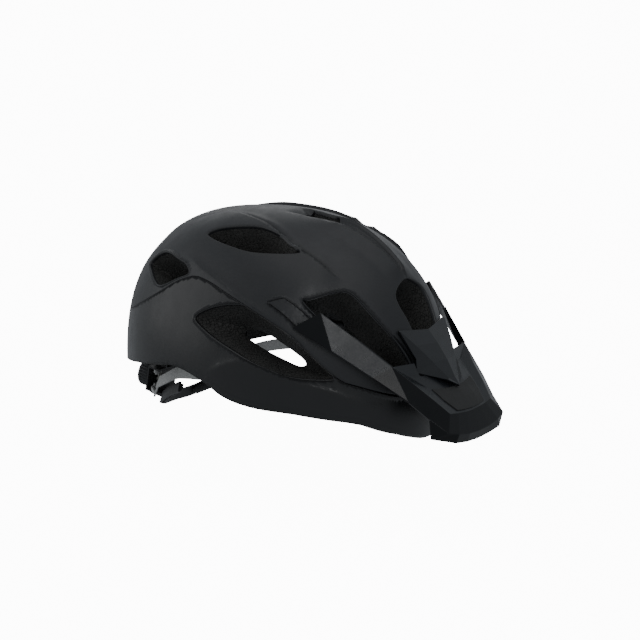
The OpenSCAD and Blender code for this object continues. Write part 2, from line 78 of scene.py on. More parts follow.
def area_light(name, place, target, size, power):
    light = bpy.data.lights.new(name, "AREA")
    light.shape = "RECTANGLE"
    light.size, light.size_y = size
    light.energy = power
    obj = bpy.data.objects.new(name, light)
    bpy.context.scene.collection.objects.link(obj)
    obj.location = place
    obj.rotation_euler = (Vector(target) - Vector(place)).to_track_quat("-Z", "Y").to_euler()


# Name, place, what it points at, size and watts
LIGHTS = [("overhead", (-0.2, 0.1, 2.6), (0, 0, 0), (2.6, 2.6), 12),
          ("key", (-1.5, -1.2, 1.6), (0, 0, 0.05), (1.1, 0.8), 8.2),
          ("far_back", (2.0, 1.4, 0.8), (0, 0, 0.06), (1.6, 1.0), 3.2),
          ("near_back", (-1.3, 2.1, 0.5), (0, 0, 0.06), (2.2, 1.8), 9)]
WORLD_STRENGTH = 0.42
FLOOR_Z = -0.056
FLOOR_HALF = 14
FLOOR_GLOW = 12.0        # bright enough to show as white paper; it lights and mirrors in nothing


def make_stage():
    world = bpy.data.worlds.new("studio")
    bpy.context.scene.world = world
    world.use_nodes = True
    background = world.node_tree.nodes["Background"]
    background.inputs["Color"].default_value = (0.9, 0.95, 1.0, 1)
    background.inputs["Strength"].default_value = WORLD_STRENGTH
    for light in LIGHTS:
        area_light(*light)
    h = FLOOR_HALF
    mesh = bpy.data.meshes.new("floor")
    corners = [(-h, -h, FLOOR_Z), (h, -h, FLOOR_Z), (h, h, FLOOR_Z), (-h, h, FLOOR_Z)]
    mesh.from_pydata(corners, [], [(0, 1, 2, 3)])
    floor = bpy.data.objects.new("floor", mesh)
    bpy.context.scene.collection.objects.link(floor)
    material = bpy.data.materials.new("floor_paper")
    material.use_nodes = True
    shader = material.node_tree.nodes["Principled BSDF"]
    shader.inputs["Base Color"].default_value = (0.92, 0.92, 0.92, 1)
    shader.inputs["Roughness"].default_value = 0.9
    shader.inputs["Emission Color"].default_value = (1, 1, 1, 1)
    shader.inputs["Emission Strength"].default_value = FLOOR_GLOW
    mesh.materials.append(material)
    floor.visible_glossy = False
    floor.visible_diffuse = False


# ---------------------------------------------------------------- materials

class Nodes:
    """A material's node tree, with short ways to add and join nodes."""

    def __init__(self, name):
        self.material = bpy.data.materials.new(name)
        self.material.use_nodes = True
        self.tree = self.material.node_tree
        self.shader = self.tree.nodes["Principled BSDF"]

    def add(self, kind, **settings):
        node = self.tree.nodes.new(kind)
        for key, value in settings.items():
            if hasattr(node, key) and key not in node.inputs:
                setattr(node, key, value)
            else:
                node.inputs[key.replace("_", " ")].default_value = value
        return node

    def join(self, a, b):
        self.tree.links.new(a, b)

    def place(self, scale=1.0):
        coords = self.add("ShaderNodeTexCoord")
        mapping = self.add("ShaderNodeMapping")
        mapping.inputs["Scale"].default_value = (scale, scale, scale)
        self.join(coords.outputs["Object"], mapping.inputs["Vector"])
        return mapping.outputs["Vector"]

    def noise(self, scale, detail=3.0, roughness=0.55):
        node = self.add("ShaderNodeTexNoise", Scale=scale, Detail=detail, Roughness=roughness)
        self.join(self.place(), node.inputs["Vector"])
        return node.outputs["Fac"]

    def cells(self, scale, feature="F1"):
        node = self.add("ShaderNodeTexVoronoi", feature=feature, Scale=scale)
        self.join(self.place(), node.inputs["Vector"])
        return node.outputs["Distance"]

    def ramp(self, value, low, high, a=0.0, b=1.0):
        node = self.add("ShaderNodeMapRange")
        for key, number in (("From Min", low), ("From Max", high), ("To Min", a), ("To Max", b)):
            node.inputs[key].default_value = number
        self.join(value, node.inputs["Value"])
        return node.outputs["Result"]

    def math(self, operation, a, b):
        node = self.add("ShaderNodeMath", operation=operation)
        for socket, value in zip(node.inputs, (a, b)):
            if isinstance(value, (int, float)):
                socket.default_value = value
            else:
                self.join(value, socket)
        return node.outputs["Value"]

    def mix(self, fac, a, b):
        node = self.add("ShaderNodeMix", data_type="RGBA")
        if isinstance(fac, (int, float)):
            node.inputs["Factor"].default_value = fac
        else:
            self.join(fac, node.inputs["Factor"])
        for socket, value in ((node.inputs[6], a), (node.inputs[7], b)):
            if isinstance(value, tuple):
                socket.default_value = (*value, 1)
            else:
                self.join(value, socket)
        return node.outputs[2]

    def bump(self, height, distance, strength=1.0, normal=None):
        node = self.add("ShaderNodeBump", Distance=distance, Strength=strength)
        self.join(height, node.inputs["Height"])
        if normal is not None:
            self.join(normal, node.inputs["Normal"])
        return node.outputs["Normal"]

    def colour(self, value):
        self.join(value, self.shader.inputs["Base Color"])

    def rough(self, value):
        self.join(value, self.shader.inputs["Roughness"])

    def normal(self, value):
        self.join(value, self.shader.inputs["Normal"])


def plastic(name, base, rough, grain=0.00004, grain_scale=2600, mottle=0.12, specular=0.5):
    """Moulded plastic: a fine spark-erosion grain, faint cloudiness and slightly uneven gloss."""
    n = Nodes(name)
    cloud = n.noise(28, 4)
    pale = tuple(min(1.0, c * (1 + mottle) + 0.001) for c in base)
    dark = tuple(c * (1 - mottle) for c in base)
    n.colour(n.mix(cloud, dark, pale))
    n.rough(n.ramp(n.noise(90, 5), 0.3, 0.7, rough - 0.045, rough + 0.045))
    n.normal(n.bump(n.noise(grain_scale, 2), grain))
    n.shader.inputs["Specular IOR Level"].default_value = specular
    return n.material


def bead_foam(name, base):
    """Expanded foam: packed beads a few millimetres across, their walls paler than the gaps."""
    n = Nodes(name)
    edge = n.cells(330, "DISTANCE_TO_EDGE")
    gap = n.ramp(edge, 0.0, 0.10)
    tone = n.ramp(n.noise(40, 3), 0.35, 0.65, 0.35, 1.0)
    speck = n.math("MULTIPLY", gap, tone)
    n.colour(n.mix(speck, tuple(c * 0.3 for c in base), base))
    n.shader.inputs["Roughness"].default_value = 0.8
    n.normal(n.bump(gap, 0.0007, 0.9, n.bump(n.noise(900, 2), 0.00015)))
    return n.material


def knit(name, base):
    """Knitted pad cover: two crossing sets of small ribs with a little fuzz."""
    n = Nodes(name)
    ribs = []
    for direction in ("X", "Y"):
        wave = n.add("ShaderNodeTexWave", bands_direction=direction, Scale=260, Distortion=1.5)
        wave.inputs["Detail Scale"].default_value = 3
        n.join(n.place(), wave.inputs["Vector"])
        ribs.append(wave.outputs["Fac"])
    weave = n.math("MULTIPLY", ribs[0], ribs[1])
    n.colour(n.mix(weave, tuple(c * 0.45 for c in base), base))
    n.shader.inputs["Roughness"].default_value = 0.9
    n.shader.inputs["Sheen Weight"].default_value = 0.25
    n.normal(n.bump(weave, 0.0003, 0.8, n.bump(n.noise(1500, 2), 0.0001)))
    return n.material


def woven(name, base):
    """Strap webbing: a herringbone along the strap, read from the strap's own length and width."""
    n = Nodes(name)
    along = n.add("ShaderNodeAttribute", attribute_name="strap_place")
    split = n.add("ShaderNodeSeparateXYZ")
    n.join(along.outputs["Vector"], split.inputs["Vector"])
    zig = n.math("PINGPONG", n.math("MULTIPLY", split.outputs["Y"], 400), 1.0)
    phase = n.math("ADD", n.math("MULTIPLY", split.outputs["X"], 900), n.math("MULTIPLY", zig, 1.6))
    rib = n.math("PINGPONG", phase, 1.0)
    n.colour(n.mix(rib, tuple(c * 0.4 for c in base), base))
    n.shader.inputs["Roughness"].default_value = 0.75
    n.shader.inputs["Sheen Weight"].default_value = 0.2
    n.normal(n.bump(rib, 0.00025, 0.8))
    return n.material


def brushed(name, base, rough):
    n = Nodes(name)
    streak = n.add("ShaderNodeTexNoise", Scale=800, Detail=4)
    mapping = n.add("ShaderNodeMapping")
    mapping.inputs["Scale"].default_value = (0.06, 1, 1)
    n.join(n.place(), mapping.inputs["Vector"])
    n.join(mapping.outputs["Vector"], streak.inputs["Vector"])
    n.colour(n.mix(streak.outputs["Fac"], tuple(c * 0.75 for c in base), base))
    n.rough(n.ramp(streak.outputs["Fac"], 0.3, 0.7, rough - 0.08, rough + 0.08))
    n.shader.inputs["Metallic"].default_value = 1.0
    return n.material


MATERIALS = {
    "upper": plastic("shell_matt", (0.012, 0.0125, 0.0145), 0.42),
    "lower": plastic("shell_satin", (0.0075, 0.0075, 0.0085), 0.33),
    "visor": plastic("visor_satin", (0.0085, 0.010, 0.0125), 0.30),
    # A glossier copy of the visor plastic, painted darker as shade for the facets that face away from the
    # light.
    "gloss": plastic("visor_gloss_painted_shade", (0.004, 0.0045, 0.0055), 0.2, specular=0.22),
    "panel": plastic("visor_panel_matt", (0.012, 0.012, 0.012), 0.62, grain=0.0001, grain_scale=1500),
    "trim": plastic("trim_satin", (0.009, 0.010, 0.012), 0.35),
    "nylon": plastic("nylon_black", (0.010, 0.010, 0.011), 0.5),
    "band": plastic("nylon_grey", (0.42, 0.42, 0.41), 0.5),
    "knob": plastic("knob_rubber", (0.012, 0.013, 0.015), 0.55, grain=0.0001, grain_scale=1800),
    "white": plastic("nylon_natural", (0.62, 0.61, 0.57), 0.45),
    "foam": bead_foam("bead_foam", (0.035, 0.034, 0.032)),
    "knit": knit("knit_cover", (0.020, 0.020, 0.022)),
    "webbing": woven("webbing", (0.016, 0.016, 0.018)),
    "steel": brushed("steel", (0.55, 0.55, 0.56), 0.35),
}

# ---------------------------------------------------------------- the helmet's dome

SHELL = (146, 145, 107, 131)        # front, back and side reach from the pole, height
CAVITY = (110, 107, 82, 101)        # the same for the inside of the foam
POLE_Y, POLE_Z = 7, 42
PITCH = math.radians(10)
LEVEL_Y, LEVEL_Z = -12, -18
ROUND = {"front": 2.2, "back": 2.65, "side": 2.25}


def profile(th, reach, height, n):
    s, c = np.sin(th), np.cos(th)
    return reach * np.abs(s) ** (2 / n), np.sign(c) * height * np.abs(c) ** (2 / n)


def levelled(p):
    p = np.asarray(p, float)
    c, s = math.cos(PITCH), math.sin(PITCH)
    return np.stack([p[..., 0], p[..., 1] * c + p[..., 2] * s + LEVEL_Y,
                     p[..., 2] * c - p[..., 1] * s + LEVEL_Z], -1)


def dome(shape, psi, th, inset=0.0, relief=None):
    """Points of a dome: psi is the angle round the pole from the brow, th the angle down from it."""
    psi, th = np.broadcast_arrays(np.asarray(psi, float), np.asarray(th, float))
    a, t = np.radians(psi), np.radians(th)
    c, s = np.cos(a), np.sin(a)
    front = profile(t, shape[0] - inset, shape[3] - inset, ROUND["front"])
    back = profile(t, shape[1] - inset, shape[3] - inset, ROUND["back"])
    side = profile(t, shape[2] - inset, shape[3] - inset, ROUND["side"])
    reach = np.where(c >= 0, front[0], back[0])
    rise = np.where(c >= 0, front[1], back[1])
    p = np.stack([side[0] * s, POLE_Y - reach * c, POLE_Z + c * c * rise + (1 - c * c) * side[1]], -1)
    out = p - np.array([0, POLE_Y, POLE_Z])
    if relief is not None:
        out = out / np.linalg.norm(out, axis=-1, keepdims=True)
        p = p + out * relief(psi, th, p)[..., None]
    return levelled(p)


# The chart lays the dome flat: distance from its middle is th, direction is psi.
def chart(q):
    q = np.asarray(q, float)
    a = np.radians(q[..., 0])
    return np.stack([q[..., 1] * np.sin(a), q[..., 1] * np.cos(a)], -1)


def unchart(v):
    v = np.asarray(v, float)
    return np.degrees(np.arctan2(v[..., 0], v[..., 1])), np.hypot(v[..., 0], v[..., 1])


def on_dome(shape, uv, inset=0.0, relief=None):
    psi, th = unchart(uv)
    return dome(shape, psi, th, inset, relief)


def normals(shape, uv, relief=None):
    e = 0.25
    uv = np.asarray(uv, float)
    du = on_dome(shape, uv + (e, 0), 0, relief) - on_dome(shape, uv - (e, 0), 0, relief)
    dv = on_dome(shape, uv + (0, e), 0, relief) - on_dome(shape, uv - (0, e), 0, relief)
    n = np.cross(du, dv)
    n /= np.linalg.norm(n, axis=-1, keepdims=True)
    away = on_dome(shape, uv) - levelled((0, POLE_Y, POLE_Z))
    return n * np.sign((n * away).sum(-1, keepdims=True))


def closed_curve(points, spacing=0.5):
    """A closed outline with its corners cut round three times, as evenly spaced points."""
    p = np.asarray(points, float)
    for _ in range(3):
        after = np.roll(p, -1, axis=0)
        p = np.stack([p * 0.75 + after * 0.25, p * 0.25 + after * 0.75], 1).reshape(-1, 2)
    loop = np.concatenate([p, p[:1]])
    walk = np.concatenate([[0], np.cumsum(np.linalg.norm(np.diff(loop, axis=0), axis=1))])
    count = int(walk[-1] / spacing)
    where = np.arange(count) * walk[-1] / count
    return np.stack([np.interp(where, walk, loop[:, k]) for k in (0, 1)], -1)


def open_curve(points, per):
    """A smooth open curve through the points."""
    p = np.asarray(points, float)
    out = []
    for i in range(len(p) - 1):
        a, b, c, d = p[max(i - 1, 0)], p[i], p[i + 1], p[min(i + 2, len(p) - 1)]
        for t in np.arange(per) / per:
            out.append(0.5 * (2 * b + (c - a) * t + (2 * a - 5 * b + 4 * c - d) * t * t
                              + (3 * b - a - 3 * c + d) * t ** 3))
    out.append(p[-1])
    return np.array(out)


def soft_table(table, x):
    """A table read with its corners eased."""
    xs, ys = np.array(table, float).T
    x = np.abs(np.asarray(x, float))
    x = np.where(x > 180, 360 - x, x)
    return np.mean([np.interp(np.clip(np.abs(x + d), 0, 180), xs, ys) for d in (-6, -3, 0, 3, 6)], axis=0)


RIM = [(0, 108), (11, 106), (26, 102), (36, 98.5), (48, 97), (70, 94), (78, 93.5), (86, 91),
       (92, 88.5), (98, 86), (106, 86), (118, 88), (130, 89.5), (145, 90.5), (180, 91)]
SEAM = [(0, 92), (25, 90), (48, 84.5), (52, 78), (60, 71), (73, 64), (83, 59), (97, 53), (106, 53),
        (113, 59.5), (122, 66), (129, 69.5), (141, 75), (180, 76)]

VENT_A = [(113, 32), (112, 34), (104, 36), (95, 37.5), (84, 39.5), (75, 40), (62, 39.5), (54, 38.5),
          (53.5, 37), (58, 32), (66, 27.5), (75, 24.5), (84, 23.5), (97, 25), (108, 28)]
VENT_C = [(57, 57.5), (53, 57.5), (45, 54.5), (38, 53), (34, 54), (28, 63), (23, 69), (19, 74), (14, 81),
          (12, 85), (12.5, 87), (19, 87), (24, 84), (38, 75), (49, 66), (55, 60.5)]
VENT_E = [(141, 56), (141, 53), (135, 47.5), (127, 46), (117, 47.5), (110, 48.5), (105.5, 51.5), (105, 53.5),
          (111, 56.5), (115, 59.5), (120, 61.5), (126, 60), (133, 57.5)]
VENT_F = [(97, 69), (96, 67), (93, 65), (90, 63.5), (82, 61.5), (76, 61.7), (68, 65.5), (62.5, 70),
          (57.4, 74), (50.5, 79.5), (46, 83.5), (45.5, 85.5), (54, 85.5), (61, 85), (68, 83), (75, 80.7),
          (81, 78), (88, 75), (95, 71)]
F_THROUGH = [(82, 69.5), (81.5, 67), (78, 66), (73.5, 66.3), (64.5, 71), (58, 75.2), (52.8, 79),
             (52.6, 81), (56.5, 81.5), (67, 77.2), (75, 73.6)]
VENT_H = [(170, 38), (158, 40), (152, 48), (154, 58), (160, 62), (171, 60)]
VENT_B = [(-40, 8), (40, 8), (30, 11), (20, 15), (14, 18.5), (0, 20), (-14, 18.5), (-20, 15), (-30, 11)]
VENT_D = [(0, 51), (8, 53), (13.5, 56.5), (14, 61), (12, 66), (10.5, 72), (8, 79), (0, 81),
          (-8, 79), (-10.5, 72), (-12, 66), (-14, 61), (-13.5, 56.5), (-8, 53)]
# Outline, how much narrower it is at the cavity, its shift there, the skin it opens in, both sides;
# vent F has its own outline at the cavity in place of the two numbers
VENTS = [(VENT_A, 0.72, (2.5, 0), "upper", True), (VENT_C, 0.8, (1, -1), "upper", True),
         (VENT_E, 0.7, (1, 1), "upper", True), (VENT_F, None, F_THROUGH, "lower", True),
         (VENT_H, 0.8, (0, 2), "upper", True), (VENT_B, 0.9, (0, 0), "upper", False),
         (VENT_D, 0.85, (0, -1), "upper", False)]

STEP = [(160, 37), (152, 30), (146, 23), (137, 17.5), (114, 15.5), (90, 18), (78, 20.5), (63, 28.5),
        (54, 35.5), (46, 42), (41, 46), (36, 50)]
SWOOSH = [(92, 88), (86, 83.5), (79, 81), (68, 83), (58, 86), (45, 89), (36, 91), (25, 94)]
CREASE = [(113, 45), (104, 48), (97, 51), (83, 57.5), (73, 62.5), (66, 66)]
COVER = [(69, 60), (63, 58), (53.5, 65), (58.5, 68)]


def sharp(points):
    """The outline with extra points by its corners, so that rounding leaves its sides straight."""
    p = np.asarray(points, float)
    after = np.roll(p, -1, axis=0)
    return np.stack([p * (1 - t) + after * t for t in (0, 0.1, 0.9)], 1).reshape(-1, 2)


def mirrored(uv):
    return np.asarray(uv)[::-1] * (-1, 1)


def smooth(x, a, b):
    t = np.clip((x - a) / (b - a), 0, 1)
    return t * t * (3 - 2 * t)


def side_of(uv, line):
    """Signed distance to an open line in the chart, in degrees, and how far along it (0 to 1)."""
    uv = np.asarray(uv, float)
    best = np.full(uv.shape[:-1], 1e9)
    sign = np.ones_like(best)
    along = np.zeros_like(best)
    lengths = np.linalg.norm(np.diff(line, axis=0), axis=1)
    starts = np.concatenate([[0], np.cumsum(lengths)])
    for i in range(len(line) - 1):
        a, d = line[i], line[i + 1] - line[i]
        rel = uv - a
        t = np.clip((rel @ d) / (d @ d), 0, 1)
        gap = rel - t[..., None] * d
        dist = np.hypot(gap[..., 0], gap[..., 1])
        near = dist < best
        best = np.where(near, dist, best)
        sign = np.where(near, np.sign(d[0] * rel[..., 1] - d[1] * rel[..., 0]), sign)
        along = np.where(near, (starts[i] + t * lengths[i]) / starts[-1], along)
    return best * sign, along


STEP_LINE = open_curve(chart(STEP), 5)
SWOOSH_LINE = open_curve(chart(SWOOSH), 4)
CREASE_LINE = open_curve(chart(CREASE), 4)
CREST = ((4, 20, 36, 50), (12, 9, 4.2, 1.5))      # half width of the crown's channel along the dome
SPINE_RISE, STEP_RISE, RIDGE_RISE, CHANNEL_DEPTH = 1.4, 4.2, 4.2, 5.5


def ridge(uv, line, height, spread, ease):
    """A ridge along a line: steep on one side, falling off over a spread of degrees on the other."""
    d, along = side_of(uv, line)
    fade = smooth(along, 0.0, ease[0]) * (1 - smooth(along, ease[1], 1.0))
    return height * np.where(d < 0, np.exp(-np.abs(d) / spread), np.exp(-np.abs(d) / 1.2)) * fade


def relief(psi, th, p):
    """How far the skin stands above the plain dome.

    A low spine, the step with a groove and a soft band at its foot, the crests beside the crown's
    channel, the channel itself, and two ridges.
    """
    uv = chart(np.stack([np.abs(psi), th], -1))
    x = np.abs(p[..., 0])
    high = np.clip((p[..., 2] - POLE_Z) / 50, 0, 1)
    rise = SPINE_RISE * np.exp(-(x / 26) ** 2) * high
    d, along = side_of(uv, STEP_LINE)
    fade = (1 - smooth(np.abs(psi), 108, 162)) * (1 - smooth(along, 0.86, 1.0))
    rise += (STEP_RISE * smooth(-d, -0.35, 0.35) - 1.1 * np.exp(-((d - 0.55) / 0.45) ** 2)
             + 0.7 * np.exp(-((d - 2.6) / 1.3) ** 2)) * fade
    ahead = uv[..., 1]
    crest = np.interp(ahead, *CREST)
    rise += RIDGE_RISE * np.clip(1 - np.maximum(x - crest, 0) / 17, 0, 1) ** 1.3 * smooth(ahead, 10, 26) * (
        1 - smooth(ahead, 46, 54))
    rise -= CHANNEL_DEPTH * (1 - smooth(x, crest - 3.2, crest + 0.2)) * smooth(ahead, 2, 8) * (
        1 - smooth(ahead, 46, 53))
    rise += ridge(uv, SWOOSH_LINE, 1.6, 5, (0.25, 0.8))
    rise += ridge(uv, CREASE_LINE, 1.3, 4, (0.2, 0.75))
    return rise


# ---------------------------------------------------------------- mesh helpers

def make(name, verts, faces, material, body, replaces=(), flat=False):
    """A mesh object from points in millimetres, riding on a body."""
    mesh = bpy.data.meshes.new(name)
    mesh.from_pydata((np.asarray(verts, float) * MM).tolist(), [], [list(map(int, f)) for f in faces])
    mesh.validate()
    if not flat:
        mesh.shade_smooth()
    mesh.materials.append(MATERIALS[material])
    obj = bpy.data.objects.new(name, mesh)
    bpy.context.scene.collection.objects.link(obj)
    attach(obj, body)
    if replaces:
        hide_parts(*replaces)
    return obj


def add_modifier(obj, kind, **settings):
    modifier = obj.modifiers.new(kind.lower(), kind)
    for key, value in settings.items():
        setattr(modifier, key, value)
    return modifier


def soften(obj, width=0.6, angle=25, segments=3):
    add_modifier(obj, "BEVEL", width=width * MM, segments=segments, limit_method="ANGLE",
                 angle_limit=math.radians(angle), harden_normals=True)
    return obj


def inside(uv, loop):
    """Which chart points lie inside a closed outline."""
    x, y = np.asarray(uv, float).T
    hit = np.zeros(len(x), bool)
    for (x0, y0), (x1, y1) in zip(loop, np.roll(loop, -1, axis=0)):
        crosses = (y0 > y) != (y1 > y)
        with np.errstate(divide="ignore", invalid="ignore"):
            at = x0 + (y - y0) * (x1 - x0) / (y1 - y0)
        hit ^= crosses & (x < at)
    return hit


def triangulated(outer, holes, lines, spacing, inner=None):
    """Triangles in the chart between an outer outline and holes, with lines kept as edges."""
    loops = [outer] + list(holes) + ([inner] if inner is not None else [])
    points, edges = [], []
    for loop in loops:
        start = len(points)
        points.extend(map(tuple, loop))
        edges += [(start + i, start + (i + 1) % len(loop)) for i in range(len(loop))]
    for line in lines:
        start = len(points)
        points.extend(map(tuple, line))
        edges += [(start + i, start + i + 1) for i in range(len(line) - 1)]
    tree = kdtree.KDTree(len(points))
    for i, p in enumerate(points):
        tree.insert((p[0], p[1], 0), i)
    tree.balance()
    lo, hi = outer.min(0), outer.max(0)
    row = spacing * math.sqrt(3) / 2
    grid = np.array([(x + (j % 2) * spacing / 2, lo[1] + j * row)
                     for j in range(int((hi[1] - lo[1]) / row) + 1)
                     for x in np.arange(lo[0], hi[0], spacing)])
    keep = inside(grid, outer)
    for hole in list(holes) + ([inner] if inner is not None else []):
        keep &= ~inside(grid, hole)
    for p in grid[keep]:
        if tree.find((p[0], p[1], 0))[2] > spacing * 0.55:
            points.append(tuple(p))
    result = geometry.delaunay_2d_cdt([Vector(p) for p in points], edges, [], 0, 1e-5)
    uv = np.array([tuple(v) for v in result[0]])
    faces = np.array([f for f in result[2] if len(f) == 3])
    middle = uv[faces].mean(1)
    keep = inside(middle, outer)
    for hole in list(holes) + ([inner] if inner is not None else []):
        keep &= ~inside(middle, hole)
    return uv, faces[keep]


def outward_faces(points, faces, centre):
    """The triangles turned so that they face away from a centre."""
    p = points[faces]
    n = np.cross(p[:, 1] - p[:, 0], p[:, 2] - p[:, 0])
    wrong = (n * (p.mean(1) - centre)).sum(1) < 0
    out = faces.copy()
    out[wrong] = out[wrong][:, ::-1]
    return out


class Pile:
    """Points and faces gathered into one mesh."""

    def __init__(self):
        self.points, self.faces = [], []

    def add(self, points, faces):
        start = len(self.points)
        self.points.extend(map(tuple, np.asarray(points, float)))
        self.faces.extend([[int(i) + start for i in f] for f in faces])

    def bridge(self, loops, closed=True):
        n = len(loops[0])
        span = n if closed else n - 1
        faces = [(j * n + i, (j + 1) * n + i, (j + 1) * n + (i + 1) % n, j * n + (i + 1) % n)
                 for j in range(len(loops) - 1) for i in range(span)]
        self.add(np.concatenate(loops), faces)


CENTRE = levelled((0, POLE_Y, POLE_Z))


def edge_frame(loop, hole=True):
    """Points along an outline on the skin, with the normal and the direction across the edge."""
    p = on_dome(SHELL, loop, 0, relief)
    n = normals(SHELL, loop, relief)
    along = np.roll(p, -1, axis=0) - np.roll(p, 1, axis=0)
    across = np.cross(n, along)
    across /= np.linalg.norm(across, axis=1, keepdims=True)
    middle = p.mean(0)
    towards = ((middle - p) * across).sum(1).mean()
    across *= np.sign(towards) * (1 if hole else -1)
    return p, n, across


def rolled(pile, loop, radius, drop, hole=True, steps=4):
    """Rounds an edge over and turns it down. Returns the lowest loop."""
    p, n, across = edge_frame(loop, hole)
    rings = []
    for k in range(steps + 1):
        a = math.pi / 2 * k / steps
        rings.append(p + across * radius * math.sin(a) - n * radius * (1 - math.cos(a)))
    rings.append(rings[-1] - n * drop)
    pile.bridge(rings)
    return rings[-1]


# ---------------------------------------------------------------- skins and foam

def ring_line(table, offset, count=420):
    psi = np.arange(count) * 360 / count
    return chart(np.stack([psi, soft_table(table, psi) + offset], -1))


def step_lines():
    """Lines kept as mesh edges along the step, the ridges and the channel, so that they stay crisp."""
    out = []
    for line in (STEP_LINE, SWOOSH_LINE, CREASE_LINE):
        d = np.gradient(line, axis=0)
        n = np.stack([-d[:, 1], d[:, 0]], -1) / np.linalg.norm(d, axis=1, keepdims=True)
        for k in (-0.4, 0.4, 1.0):
            out += [line + n * k, mirrored(line + n * k)]
    for k in (-3.2, -1.5, 0.2):
        line = crest_line(k)
        out += [line, mirrored(line)]
    return out


def crest_line(offset):
    """The chart points where the plain dome is at the channel crest's half width plus an offset."""
    ahead = np.arange(3, 54, 0.8)
    u = np.arange(0, 16, 0.1)
    x = on_dome(SHELL, np.stack(np.meshgrid(u, ahead), -1))[..., 0]
    wanted = np.maximum(np.interp(ahead, *CREST) + offset, 0.4)
    return np.array([(np.interp(w, row, u), a) for w, row, a in zip(wanted, x, ahead)])


def clear_of(lines, outer, holes, inner=None):
    """The stretches of lines that lie well inside a skin."""
    out = []
    for line in lines:
        ok = inside(line, outer)
        for hole in holes:
            ok &= ~inside(line, hole)
            gaps = np.linalg.norm(line[:, None] - hole[None], axis=2).min(1)
            ok &= gaps > 0.8
        ok &= np.linalg.norm(line[:, None] - outer[None], axis=2).min(1) > 0.8
        if inner is not None:
            ok &= ~inside(line, inner)
            ok &= np.linalg.norm(line[:, None] - inner[None], axis=2).min(1) > 0.8
        run = []
        for p, good in zip(line, ok):
            if good:
                run.append(p)
            elif len(run) > 2:
                out.append(np.array(run))
                run = []
            else:
                run = []
        if len(run) > 2:
            out.append(np.array(run))
    return out


def vent_loops(skin):
    out = []
    for points, _, _, where, both in VENTS:
        if where == skin:
            loop = closed_curve(chart(points))
            out.append(loop)
            if both:
                out.append(mirrored(loop))
    if skin == "upper":
        plate = shrunk(closed_curve(sharp(chart(COVER)), 0.3), 1.07, (0, 0))
        out += [plate, mirrored(plate)]
    return out


def skin(name, outer, inner, which, material, slot, node):
    holes = vent_loops(which)
    lines = clear_of(step_lines(), outer, holes, inner)
    uv, faces = triangulated(outer, holes, lines, 1.15, inner)
    points = on_dome(SHELL, uv, 0, relief)
    pile = Pile()
    pile.add(points, outward_faces(points, faces, CENTRE))
    for hole in holes:
        rolled(pile, hole, 1.3, 1.6)
    rolled(pile, outer, 0.9 if which == "upper" else 2.6, 1.2, hole=False)
    if inner is not None:
        rolled(pile, inner, 0.5, 0.8)
    obj = make(name, pile.points, pile.faces, material, "helmet", (node,))
    weld(obj)
    return obj


def recalc(obj):
    """Turns every face outwards."""
    bm = bmesh.new()
    bm.from_mesh(obj.data)
    bmesh.ops.recalc_face_normals(bm, faces=bm.faces)
    bm.to_mesh(obj.data)
    bm.free()


def weld(obj, distance=0.02):
    add_modifier(obj, "WELD", merge_threshold=distance * MM)


def shrunk(loop, k, shift):
    middle = loop.mean(0)
    return middle + (loop - middle) * k + np.array(shift)


def signed_area(q):
    """Twice the area inside an outline, negative where it runs clockwise."""
    return (q[:, 0] * np.roll(q[:, 1], -1) - q[:, 1] * np.roll(q[:, 0], -1)).sum()


def matched(loop, target):
    """One point on the target outline for each of the loop's, the same part of the way round."""
    middle = target.mean(0)
    ring = np.concatenate([target, target[:1]])
    walk = np.concatenate([[0], np.cumsum(np.linalg.norm(np.diff(ring, axis=0), axis=1))])
    start = np.argmin(np.linalg.norm(target - middle - (loop[0] - loop.mean(0)) * 0.4, axis=1))
    way = np.sign(signed_area(loop) * signed_area(target))
    part = np.concatenate([loop, loop[:1]])
    along = np.concatenate([[0], np.cumsum(np.linalg.norm(np.diff(part, axis=0), axis=1))])[:-1]
    along = along / (along[-1] + along[1])
    where = (walk[start] + way * along * walk[-1]) % walk[-1]
    return np.stack([np.interp(where, walk, ring[:, k]) for k in (0, 1)], -1)


TUNNEL_BULGE = 14                   # how strongly a vent's wall curves on its way in
FOAM_ROUND = 2.5                    # size of the eased edge where a vent opens into the cavity


def foam_liner():
    """The foam: a tunnel for each vent, the cavity's wall and the bottom edge."""
    pile = Pile()
    holes = []
    for points, k, shift, _, both in VENTS:
        for flipped in ((False, True) if both else (False,)):
            loop = closed_curve(chart(points))
            small = shrunk(loop, k, shift) if k else matched(loop, closed_curve(chart(shift), 0.25))
            if flipped:
                loop, small = mirrored(loop), mirrored(small)
            holes.append(small)
            p, n, across = edge_frame(loop)
            top = p + across * 0.9 - n * 1.6
            bottom = on_dome(CAVITY, small)
            rows = []
            for t in np.linspace(0, 1, 12):
                ease = t ** 1.4
                rows.append(top * (1 - ease) + bottom * ease - n * (t - ease) * TUNNEL_BULGE)
            m = normals(CAVITY, small)
            out = bottom - bottom.mean(0)
            out /= np.linalg.norm(out, axis=1, keepdims=True)
            rows.append(bottom + out * FOAM_ROUND * 0.3 - m * FOAM_ROUND * 0.15)
            pile.bridge(rows)
    rim_in = ring_line([(a, 90 + 1.3 * (b - 90)) for a, b in RIM], 0)
    uv, faces = triangulated(rim_in, holes, [], 2.2)
    points = on_dome(CAVITY, uv)
    pile.add(points, outward_faces(points, faces, CENTRE)[:, ::-1])
    rim = ring_line(RIM, 0)
    p, n, across = edge_frame(rim, hole=False)
    start = p + across * 2.0 - n * 3.6
    end = on_dome(CAVITY, rim_in)
    sag = np.array([0, 0, -1.5])
    pile.bridge([start * (1 - t) + end * t + sag * math.sin(math.pi * t) for t in np.linspace(0, 1, 9)])
    obj = make("foam_liner", pile.points, pile.faces, "foam", "helmet", ("eps_liner",))
    weld(obj, 0.05)
    return obj


